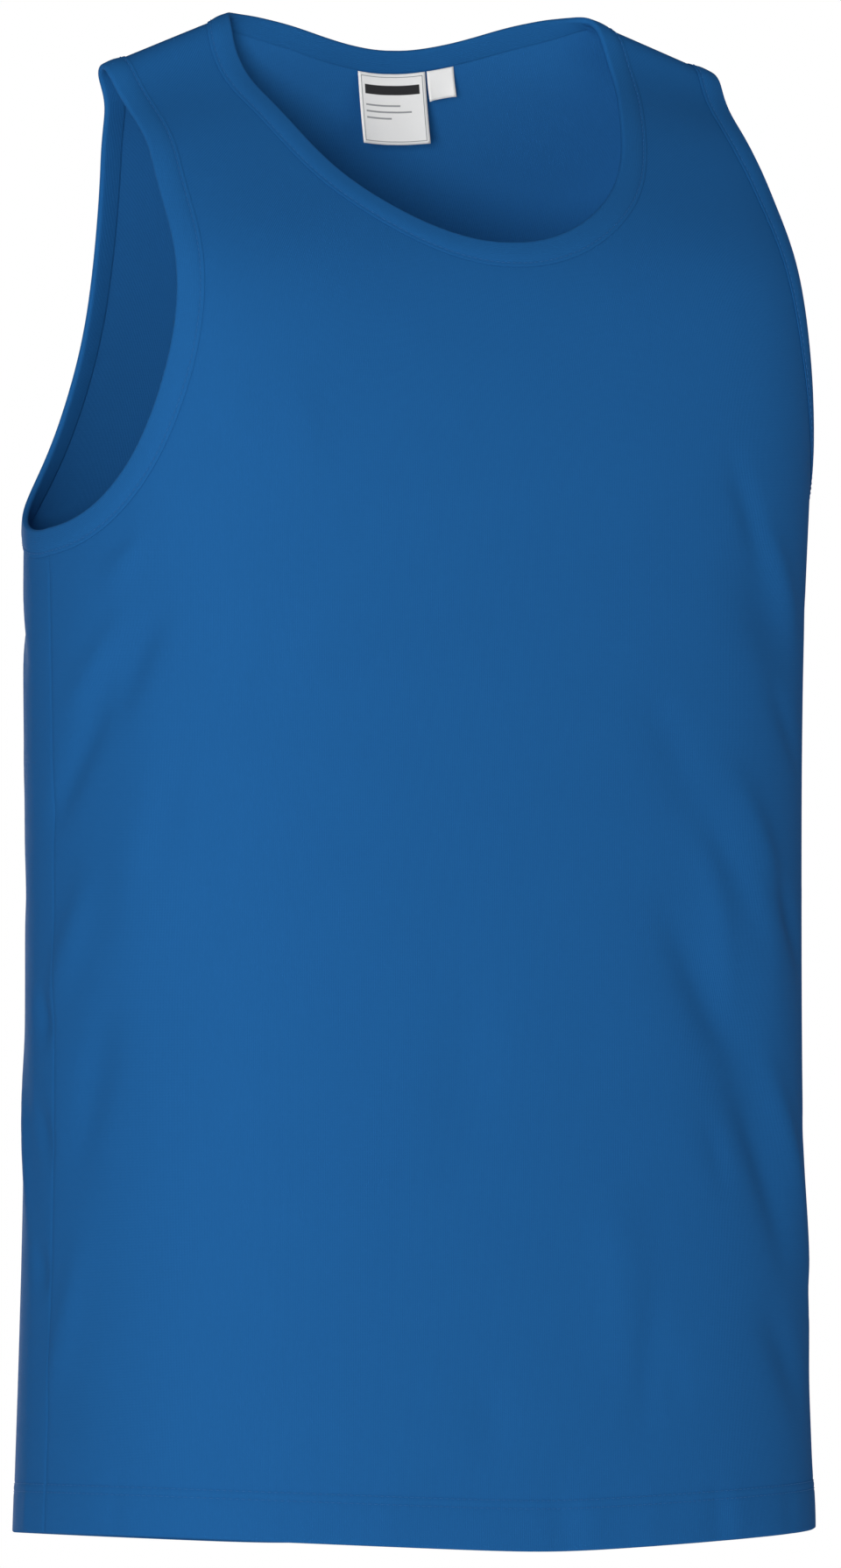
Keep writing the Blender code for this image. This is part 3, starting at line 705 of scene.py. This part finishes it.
# The two panels
panel = {
    "wall": 0.0012,
    "hemWall": 0.0022,
    "hemFold": 0.025,
    "hemStep": 0.002,
    "hemRound": 0.0011,  # radius of the hem's folded edge
    "hemRise": 0.00025,  # the hem stands this much proud of the cloth above
    "halfColumns": 60,
    "bodyRows": 104,
    "hemRows": (  # heights above the hem
        0, 0.0002, 0.0006, 0.0012, 0.0022, 0.0045, 0.0075, 0.0105, 0.0135, 0.0165, 0.0185, 0.0195,
        0.0202, 0.0209, 0.0218, 0.0228, 0.0236, 0.0243, 0.025, 0.0258, 0.027, 0.0285, 0.031,
    ),
    "strip": (0.0112, 0.0095, 0.006, 0.0),  # lines along the edges, under the bindings
    "cornerRise": 0.00006,  # each station of the first line is at least this much above the one before
    "seamGap": -0.00006,  # sewn edges are pressed into each other
    "seamDip": 0.0003,  # the cloth rolls into a seam
    "seamWidth": 0.0012,
    "seamFade": 0.01,  # the side seam's roll dies out this far below the armhole's strip
    "allowance": 0.0065,  # inside, the cloth is double this far from a seam
    "allowanceWall": 0.0008,
    "ramp": 0.0008,  # width of the steps in the wall
    "roundLimit": 0.98,
    "mapShift": 0.5,  # keeps the maps of front and back apart
    "sideColumns": (0.0004, 0.001, 0.0018, 0.003, 0.0046, 0.0062, 0.007),
}
hemStitching = {
    "heights": (0.0205, 0.0245),
    "groove": 0.00025,
    "grooveWidth": 0.0009,
    "endTurn": 0.008,  # the rows stop this far short of the side seams
    "steps": 500,
    "puckerHeight": 0.011,
    "puckerReach": 0.016,
    # turn, width in turn, rise of the small puckers between the hem's edge and its stitching
    "puckers": (
        (1.5, 1.6, -0.0011), (5.5, 1.9, 0.0007), (26.0, 1.5, -0.001),
        (30.0, 2.2, 0.0006), (14.5, 1.4, 0.0005),
        (-22.0, 2.2, 0.0004), (-37.0, 1.5, -0.0005), (-58.0, 2.0, 0.0006), (-71.0, 1.4, -0.0006),
        (44.0, 1.7, -0.0006), (63.0, 1.6, 0.0006), (77.0, 1.4, -0.0005), (104.0, 1.8, -0.0007),
        (121.0, 1.5, 0.0006), (139.0, 2.1, -0.0006), (158.0, 1.5, 0.0005), (173.0, 1.7, -0.0008),
        (-99.0, 1.6, 0.0006), (-117.0, 2.0, -0.0007), (-134.0, 1.5, 0.0005), (-151.0, 1.9, -0.0006),
        (-168.0, 1.5, 0.0006),
    ),
}


# Stations of an edge on one panel, from its lower end up to half the gap of the shoulder seam
def panelStations(side, turn, place, top):
    part = slice(0, top + 1) if side < 0 else slice(None, top - 1 if top else None, -1)
    turn, place = turn[part].copy(), place[part].copy()
    halfGap = panel["seamGap"] / 2
    place[-1] = side * halfGap / np.linalg.norm(surfaceFrame(turn[-1:], place[-1:])[1])
    if math.isclose(turn[0], math.pi / 2):
        turn[0] -= halfGap / np.linalg.norm(surfaceFrame(turn[:1], place[:1])[0])
    return turn, place


# Grids of turns and places for the left half: the cloth from middle to armhole, and the strips at its edges
def panelBlocks(side):
    strips = []
    for stations in (neckEdge, armholeEdge):
        lines = [insideEdge(stations, distance) for distance in panel["strip"]]
        strips.append([panelStations(side, *line, stations[3]) for line in lines])
    neckIn, armIn = strips[0][0], strips[1][0]
    least = levelAtPlace(armIn[1][0]) + panel["cornerRise"] * np.arange(len(armIn[1]))
    armIn[1][:] = np.where(levelAtPlace(armIn[1]) < least, side * placeAtLevel(least), armIn[1])
    chestRows = edges["frontChestRows" if side < 0 else "backChestRows"]
    underarm, throat = levelAtPlace(armIn[1][0]), levelAtPlace(neckIn[1][0])
    hemLevels = shirtForm["hemLevel"] + np.array(panel["hemRows"])
    bodyLevels = np.concatenate((hemLevels, np.linspace(hemLevels[-1], underarm, panel["bodyRows"])[1:-1]))
    bodyPlace = side * placeAtLevel(bodyLevels)
    chestPlace = side * placeAtLevel(np.linspace(underarm, throat, chestRows + 1)[:-1])
    middle = np.concatenate((bodyPlace, chestPlace))
    leftTurn = np.concatenate((np.zeros_like(middle), neckIn[0]))
    leftPlace = np.concatenate((middle, neckIn[1]))
    rightTurn = np.concatenate((np.full_like(bodyPlace, armIn[0][0]), armIn[0]))
    rightPlace = np.concatenate((bodyPlace, armIn[1]))
    nearSide = 1 - np.array(panel["sideColumns"])[::-1] / (shirtForm["turnRadius"] * math.pi / 2)
    share = np.concatenate((np.linspace(0, nearSide[0], panel["halfColumns"])[:-1], nearSide, (1,)))
    cloth = [
        low[:, None] * (1 - share) + high[:, None] * share
        for low, high in ((leftTurn, rightTurn), (leftPlace, rightPlace))
    ]
    return [cloth] + [[np.stack(lines, 1) for lines in zip(*strip)] for strip in strips]


# How far the outer face moves out, and the wall's thickness: bells and steps by the distance to seams and hem
def panelRelief(turn, place, byTurn, byPlace):
    fromShoulder = np.abs(place) * np.linalg.norm(byPlace, axis=-1)
    fromSide = (math.pi / 2 - np.abs(turn)) * np.linalg.norm(byTurn, axis=-1)
    below = edges["underarmHeight"] - panel["strip"][0] - levelAtPlace(place)
    seamShare = np.clip(below / panel["seamFade"], 0, 1)
    aboveHem = levelAtPlace(place) - shirtForm["hemLevel"]
    hemShare = np.clip((panel["hemFold"] + panel["hemStep"] - aboveHem) / panel["hemStep"], 0, 1)
    out = panel["hemRise"] * np.clip((panel["hemFold"] - aboveHem) / panel["ramp"], 0, 1)
    out -= panel["seamDip"] * bell(fromShoulder, panel["seamWidth"])
    out -= panel["seamDip"] * seamShare * bell(fromSide, panel["seamWidth"])
    for height in hemStitching["heights"]:
        out -= hemStitching["groove"] * bell(aboveHem - height, hemStitching["grooveWidth"])
    allRound = np.degrees(np.where(place < 0, turn, np.sign(turn) * math.pi - turn))
    reach = bell(aboveHem - hemStitching["puckerHeight"], hemStitching["puckerReach"])
    for at, width, rise in hemStitching["puckers"]:
        out += rise * reach * bell(allRound - at, width)
    wall = panel["wall"] + (panel["hemWall"] - panel["wall"]) * hemShare
    doubled = np.clip((panel["allowance"] - np.stack((fromShoulder, fromSide))) / panel["ramp"], 0, 1)
    wall += panel["allowanceWall"] * np.maximum(doubled[0], doubled[1] * seamShare)
    radius = panel["hemRound"]
    low = np.clip(1 - aboveHem / radius, 0, 1)
    rounding = radius * (1 - np.sqrt(1 - np.minimum(low, panel["roundLimit"]) ** 2))
    return out - rounding, wall - 2 * rounding


# A panel: its blocks and their mirror images welded along shared lines, then a wall in from the outer face
def panelPiece(name, side):
    points, inner, uv, faces, count = [], [], [], [], 0
    for turn, place in panelBlocks(side):
        for mirror in (1, -1):
            turns = turn * mirror
            outer = shirtSurface(turns, place)
            byTurn, byPlace, normal = surfaceFrame(turns, place)
            out, wall = panelRelief(turns, place, byTurn, byPlace)
            outer = outer + normal * out[..., None]
            block = gridFaces(*turn.shape) + count
            across, up = outer[0, 1] - outer[0, 0], outer[1, 0] - outer[0, 0]
            forward = np.cross(across, up).dot(normal[0, 0]) > 0
            faces.append(block if forward else block[:, ::-1])
            points.append(outer.reshape(-1, 3))
            inner.append((outer - normal * wall[..., None]).reshape(-1, 3))
            length = np.interp(np.abs(place), clothPlaces, clothLengths)
            across = turns * shirtForm["turnRadius"] + side * panel["mapShift"]
            uv.append(np.stack((across, -length), -1).reshape(-1, 2))
            count += turn.size
    points, inner, uv, faces = (np.concatenate(part) for part in (points, inner, uv, faces))
    _, first, place = np.unique(np.round(points, 6), axis=0, return_index=True, return_inverse=True)
    faces = place.ravel()[faces]
    allPoints, allFaces = closedWall(points[first], inner[first], faces)
    uv = np.tile(uv[first], (2, 1))
    piece = meshObject(name, allPoints, facingOut(allPoints, allFaces), uv, bodyJersey)
    piece.data.materials.append(reverseJersey)
    finish = np.zeros(len(allFaces), dtype=np.int32)
    finish[len(faces) : 2 * len(faces)] = 1  # the inner face shows the cloth's reverse
    piece.data.polygons.foreach_set("material_index", finish)
    return piece


frontCloth = panelPiece("frontCloth", -1)
backCloth = panelPiece("backCloth", 1)
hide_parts("front_panel")
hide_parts("back_panel")
print("stage: panels sewn, %d and %d faces" % (len(frontCloth.data.polygons), len(backCloth.data.polygons)))


# The bindings of neck and armholes
binding = {
    "wall": 0.0009,
    "lipWall": 0.0004,  # the stitched edge is pressed thin
    "gap": 0.0001,
    "outside": 0.012,
    "inside": 0.0095,
    "stitchAt": 0.01,  # distance of the stitching from the edge
    "groove": 0.00012,
    "grooveWidth": 0.0007,
    "crown": 0.00025,  # the folded cloth is fullest between edge and stitching
    "outsideTaper": 0.006,  # distances from the edge at which the legs begin to thin
    "insideTaper": 0.004,
    # distances of the legs' lines from the edge, in millimetres
    "outerLeg": (11.6, 11.2, 10.8, 10.4, 10.2, 10.0, 9.8, 9.5, 9.0, 8.0, 6.5, 5.0, 3.5, 2.0, 1.0, 0.4),
    "innerLeg": (1.0, 3.0, 5.0, 7.0, 8.5),
    "measuredLine": 5,  # the line of the section along which its map is measured
}


# Thickness of a leg: the wall up to its taper, then down to the lip in a straight line
def legWall(distance, side):
    start = binding[side + "Taper"]
    share = np.clip((distance - start) / (binding[side] - start), 0, 1)
    return binding["wall"] + (binding["lipWall"] - binding["wall"]) * share


# Section of a binding: a leg on each face of the cloth, round ends, and a half round past the edge,
# as distances into the cloth and out from it
def bindingSection():
    middle, lip = -panel["wall"] / 2, binding["lipWall"]
    near = panel["wall"] / 2 + binding["gap"]
    far = near + binding["wall"]
    outer, inner = np.array(binding["outerLeg"]) / 1000, np.array(binding["innerLeg"]) / 1000
    crown = binding["crown"] * np.sin(math.pi * np.clip(outer / binding["stitchAt"], 0, 1))
    groove = binding["groove"] * bell(outer - binding["stitchAt"], binding["grooveWidth"])
    outerLeg = np.stack((outer, middle + near + legWall(outer, "outside") + crown - groove), 1)
    turnOver = np.radians(np.linspace(90, -90, 9))
    outerRound = np.stack((-far * np.cos(turnOver), middle + far * np.sin(turnOver)), 1)
    innerLeg = np.stack((inner, middle - near - legWall(inner, "inside")), 1)
    cap = np.radians(np.linspace(-60, 60, 4))
    bulge, depth = lip / 2 * np.cos(cap), near + lip / 2 - lip / 2 * np.sin(cap)
    innerCap = np.stack((binding["inside"] - lip / 2 + bulge, middle - depth), 1)
    outerCap = np.stack((binding["outside"] - lip / 2 + bulge, middle + depth[::-1]), 1)
    backRound = np.stack((-near * np.cos(turnOver[::-2]), middle + near * np.sin(turnOver[::-2])), 1)
    innerBack = np.array(((0.0075, middle - near), (0.003, middle - near)))
    outerBack = np.array(((0.004, middle + near), (0.01, middle + near)))
    parts = (outerCap, outerLeg, outerRound, innerLeg, innerCap, innerBack, backRound, outerBack)
    return np.concatenate(parts)


# Sections set up at every station: base points a distance into the cloth, moved out along the normal
def bindingRings(stations):
    turn, place, heading, _ = stations
    edgePoints, edgeNormal = shirtSurface(turn, place), surfaceFrame(turn, place)[2]
    rings = []
    for inward, out in bindingSection():
        if inward > 0:
            baseTurn, basePlace = insideEdge(stations, inward)
            rings.append(shirtSurface(baseTurn, basePlace) + surfaceFrame(baseTurn, basePlace)[2] * out)
        else:
            rings.append(edgePoints + heading * inward + edgeNormal * out)
    return np.stack(rings, 1)


# A closed ring of sections: rows run along the edge, columns round the section, and both close on themselves.
# The map gives each face corner its distances round the section and along the edge.
def bindingPiece(name, rings):
    count, size = rings.shape[:2]
    along = runLength(np.concatenate((rings, rings[:1]))[:, binding["measuredLine"]])
    around = runLength(np.concatenate((rings[0], rings[0, :1])))
    row, column = (part.ravel() for part in np.meshgrid(np.arange(count), np.arange(size), indexing="ij"))
    rows = np.stack((row, row, row + 1, row + 1), 1)
    columns = np.stack((column, column + 1, column + 1, column), 1)
    faces = (rows % count) * size + columns % size
    uv = np.stack((around[columns], along[rows]), -1)
    points = rings.reshape(-1, 3)
    turned = facingOut(points, faces)
    uv = uv if turned is faces else uv[:, ::-1]
    return meshObject(name, points, turned, uv, bindingJersey)


neckLeft, neckRight = bindingRings(neckEdge), bindingRings(mirroredStations(neckEdge))
neckBinding = bindingPiece("neckBinding", np.concatenate((neckLeft, neckRight[-2:0:-1])))
armholeBindingLeft = bindingPiece("armholeBindingLeft", bindingRings(armholeEdge)[:-1])
armholeBindingRight = bindingPiece("armholeBindingRight", bindingRings(mirroredStations(armholeEdge))[:-1])
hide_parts("neck_binding")
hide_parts("armhole_binding_left")
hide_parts("armhole_binding_right")
print("stage: bindings folded round the edges")


# Sewing
stitching = {
    "length": 0.0023,
    "pitch": 0.0031,
    "radius": 0.00021,
    "arch": 0.00012,  # a stitch rises in its middle
    "lift": 0.0001,
    "rings": 5,
    "sides": 6,
    "endSpan": 1.04,  # just over 1, which leaves the ends a fifth of the radius
}


# A row of stitches along a line: each is a short capsule, half an ellipse in radius and a parabola in height
def stitchRow(points, normals):
    lengths = runLength(points)
    count = int(lengths[-1] / stitching["pitch"])
    at = (np.arange(count) + 0.5) * lengths[-1] / count
    centre, normal = vectorsAt(at, lengths, points), vectorsAt(at, lengths, normals)
    tangent = unit(vectorsAt(at, lengths, np.gradient(points, axis=0)))
    normal = unit(normal - (normal * tangent).sum(-1, keepdims=True) * tangent)
    beside = np.cross(normal, tangent)
    rings, sides = stitching["rings"], stitching["sides"]
    share = np.linspace(-1, 1, rings)
    angle = np.arange(sides) * 2 * math.pi / sides
    radius = stitching["radius"] * np.sqrt(stitching["endSpan"] - share**2)
    rise = stitching["lift"] + stitching["arch"] * (1 - share**2)
    body = (
        centre[:, None, None]
        + tangent[:, None, None] * (share * stitching["length"] / 2)[None, :, None, None]
        + normal[:, None, None] * (rise[:, None] + radius[:, None] * np.cos(angle))[None, :, :, None]
        + beside[:, None, None] * (radius[:, None] * np.sin(angle))[None, :, :, None]
    )
    ring, side = np.meshgrid(np.arange(rings - 1), np.arange(sides), indexing="ij")
    near, far = ring * sides + side, ring * sides + (side + 1) % sides
    tube = np.stack((near, near + sides, far + sides, far), -1).reshape(-1, 4)
    start = np.arange(count) * rings * sides
    faces = (tube[None] + start[:, None, None]).reshape(-1, 4).tolist()
    low = np.arange(sides)
    faces += (low[None] + start[:, None]).tolist()
    faces += (low[::-1][None] + start[:, None] + (rings - 1) * sides).tolist()
    return body.reshape(-1, 3), faces


# Several rows of stitches as one piece of thread
def threadPiece(name, rows):
    points, faces, count = [], [], 0
    for rowPoints, rowFaces in rows:
        faces += [[k + count for k in face] for face in rowFaces]
        points.append(rowPoints)
        count += len(rowPoints)
    points = np.concatenate(points)
    return meshObject(name, points, faces, points[:, (0, 2)], threadBlue)


# The line of a hem row: the panel's surface and relief at one height above the hem, from side to side
def hemRow(side, height):
    end = math.pi / 2 - hemStitching["endTurn"]
    turn = np.linspace(-end, end, hemStitching["steps"])
    place = np.full_like(turn, side * placeAtLevel(shirtForm["hemLevel"] + height))
    byTurn, byPlace, normal = surfaceFrame(turn, place)
    out, _ = panelRelief(turn, place, byTurn, byPlace)
    return stitchRow(shirtSurface(turn, place) + normal * out[:, None], normal)


# The line of a binding's stitching: its outer face over the groove
def bindingRow(stations):
    turn, place = insideEdge(stations, binding["stitchAt"])
    normal = surfaceFrame(turn, place)[2]
    out = binding["gap"] + legWall(binding["stitchAt"], "outside") - binding["groove"]
    return stitchRow(shirtSurface(turn, place) + normal * out, normal)


frontHemStitches = threadPiece("frontHemStitches", [hemRow(-1, height) for height in hemStitching["heights"]])
backHemStitches = threadPiece("backHemStitches", [hemRow(1, height) for height in hemStitching["heights"]])
neckRows = [bindingRow(neckEdge), bindingRow(mirroredStations(neckEdge))]
neckStitches = threadPiece("neckStitches", neckRows)
armholeStitchesLeft = threadPiece("armholeStitchesLeft", [bindingRow(armholeEdge)])
armholeStitchesRight = threadPiece("armholeStitchesRight", [bindingRow(mirroredStations(armholeEdge))])
print("stage: hem and bindings stitched")


# Label and size tab
label = {
    "width": 0.038,
    "height": 0.034,
    "tabWidth": 0.014,
    "tabHeight": 0.014,
    "tabSpace": 0.001,
    "clearance": 0.0007,
    "wall": 0.0005,
    "lean": 0.07,  # swing of the lower end to the wearer's left, for each metre down
    "curl": 0.0016,  # how far the lower corners bend forward
    "top": 0.0097,  # distance of its top from the neck's edge
    "cornerShare": 0.65,  # the part of the curl that only the corners have
    "grid": 25,
    "tabGrid": 11,
}


# A label hung from the back of the neck: straight down and a little aside, its free corners bent forward
def labelPiece(name, left, right, height, grid, material):
    lengths, turns, places, crest = neckLine
    back = lengths > crest
    x = shirtSurface(turns[back], places[back])[:, 0]
    across, down = np.linspace(left, right, grid), np.linspace(0, 1, grid)
    at = np.interp(np.abs(across), x[::-1], lengths[back][::-1])
    turn, place = np.interp(at, lengths, turns) * np.sign(across), np.interp(at, lengths, places)
    turn, place = walkOver(turn, place, np.tile((0.0, 0.0, -1.0), (grid, 1)), label["top"])
    points, normal = shirtSurface(turn, place), surfaceFrame(turn, place)[2]
    side = np.abs(np.linspace(-1, 1, grid))[:, None]
    curl = label["curl"] * (1 - label["cornerShare"] + label["cornerShare"] * side**3)
    outer, inner = [], []
    for share in down:
        hanging = points + share * height * np.array((label["lean"], 0.0, -1.0))
        depth = panel["wall"] + label["clearance"] + curl * share**2
        outer.append(hanging - normal * depth)
        inner.append(hanging - normal * (depth + label["wall"]))
    outer, inner = np.concatenate(outer), np.concatenate(inner)
    points, faces = closedWall(outer, inner, gridFaces(grid, grid))
    u, v = np.meshgrid(down, 1 - down)
    uv = np.tile(np.stack((u, v), -1).reshape(-1, 2), (2, 1))
    return meshObject(name, points, facingOut(points, faces), uv, material)


labelSatin, tabSatin = satinMaterial("labelSatin", True), satinMaterial("tabSatin", False)
labelEdge = label["width"] / 2
neckLabel = labelPiece("neckLabel", -labelEdge, labelEdge, label["height"], label["grid"], labelSatin)
tabLeft = labelEdge + label["tabSpace"]
tabRight = tabLeft + label["tabWidth"]
sizeTab = labelPiece("sizeTab", tabLeft, tabRight, label["tabHeight"], label["tabGrid"], tabSatin)
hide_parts("neck_label")
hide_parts("size_tab")
print("stage: label hung")

# How the pieces ride, grouped by what they are cut from
slots = {
    "jersey": (frontCloth, backCloth),
    "binding_jersey": (
        neckBinding, armholeBindingLeft, armholeBindingRight,
        frontHemStitches, backHemStitches, neckStitches, armholeStitchesLeft, armholeStitchesRight,
    ),
    "label_satin": (neckLabel, sizeTab),
}
for slot, pieces in slots.items():
    for piece in pieces:
        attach(piece, "root")

# Floor, light and camera
studio = {
    "floorLevel": -1.43,  # as far below the shoulders as a standing wearer's feet
    "floorRadius": 30.0,
    "floorSides": 64,
    "floorGrey": (0.84, 0.84, 0.84),
    "floorRoughness": 0.9,
    "floorGlow": 0.18,
    "seenWhite": 1.0,  # the plain backdrop
    "softLight": 0.3,  # what the same white gives the shirt from all round
    "lightSize": 2.0,
    "lightDistance": 7.0,
    "lights": (  # name, watts, azimuth, height
        ("keyLight", 308, -40, -0.1),
        ("backLight", 230, 163, -0.1),
    ),
}
camera = {
    "azimuth": -32,
    "distance": 17.0,
    "aside": 0.00614,  # how far the view's middle is to the right of the origin
    "height": -0.3546,
    "lens": 806.88,
}


# Pale matt floor: a round disc with a faint mottle
def makeFloor():
    radius, sides = studio["floorRadius"], studio["floorSides"]
    angle = np.linspace(0, 2 * math.pi, sides, endpoint=False)
    level = np.full(sides, studio["floorLevel"])
    points = np.stack((radius * np.cos(angle), radius * np.sin(angle), level), 1)
    material, tree, shader = newMaterial("paleFloor")
    mottle = mathNode(tree, "MULTIPLY_ADD", noiseNode(tree, objectPlace(tree), 3, 2), 0.02, 0.99)
    fillSockets(tree, shader, {
        "Base Color": shadedColour(tree, studio["floorGrey"], mottle),
        "Roughness": studio["floorRoughness"],
        "Emission Color": (1.0, 1.0, 1.0, 1.0),
        "Emission Strength": studio["floorGlow"],
    })
    return meshObject("studioFloor", points, [list(range(sides))], points[:, :2], material)


floor = makeFloor()
world = bpy.data.worlds.new("softWhite")
world.use_nodes = True
background = world.node_tree.nodes["Background"]
seen = world.node_tree.nodes.new("ShaderNodeLightPath").outputs["Is Camera Ray"]
extra = studio["seenWhite"] - studio["softLight"]
strength = mathNode(world.node_tree, "MULTIPLY_ADD", seen, extra, studio["softLight"])
fillSockets(world.node_tree, background, {"Color": (1.0, 1.0, 1.0, 1.0), "Strength": strength})
bpy.context.scene.world = world
bpy.context.scene.view_settings.view_transform = "Standard"

distance = studio["lightDistance"]
for name, power, turn, height in studio["lights"]:
    turn = math.radians(turn)
    lamp = bpy.data.lights.new(name, "AREA")
    lamp.shape = "DISK"
    lamp.size = studio["lightSize"]
    lamp.energy = power
    light = bpy.data.objects.new(name, lamp)
    light.location = (distance * math.sin(turn), -distance * math.cos(turn), height)
    light.rotation_euler = (math.pi / 2, 0, turn)
    light.visible_camera = False
    bpy.context.scene.collection.objects.link(light)

azimuth = math.radians(camera["azimuth"])
cameraData = bpy.data.cameras.new("photoView")
cameraData.lens = camera["lens"]
cameraData.sensor_width = 36
cameraData.clip_end = 200
photoView = bpy.data.objects.new("photoView", cameraData)
photoView.location = (
    camera["distance"] * math.sin(azimuth) + camera["aside"] * math.cos(azimuth),
    -camera["distance"] * math.cos(azimuth) + camera["aside"] * math.sin(azimuth),
    camera["height"],
)
photoView.rotation_euler = (math.pi / 2, 0, azimuth)
bpy.context.scene.collection.objects.link(photoView)
bpy.context.scene.camera = photoView
print("stage: studio lit")
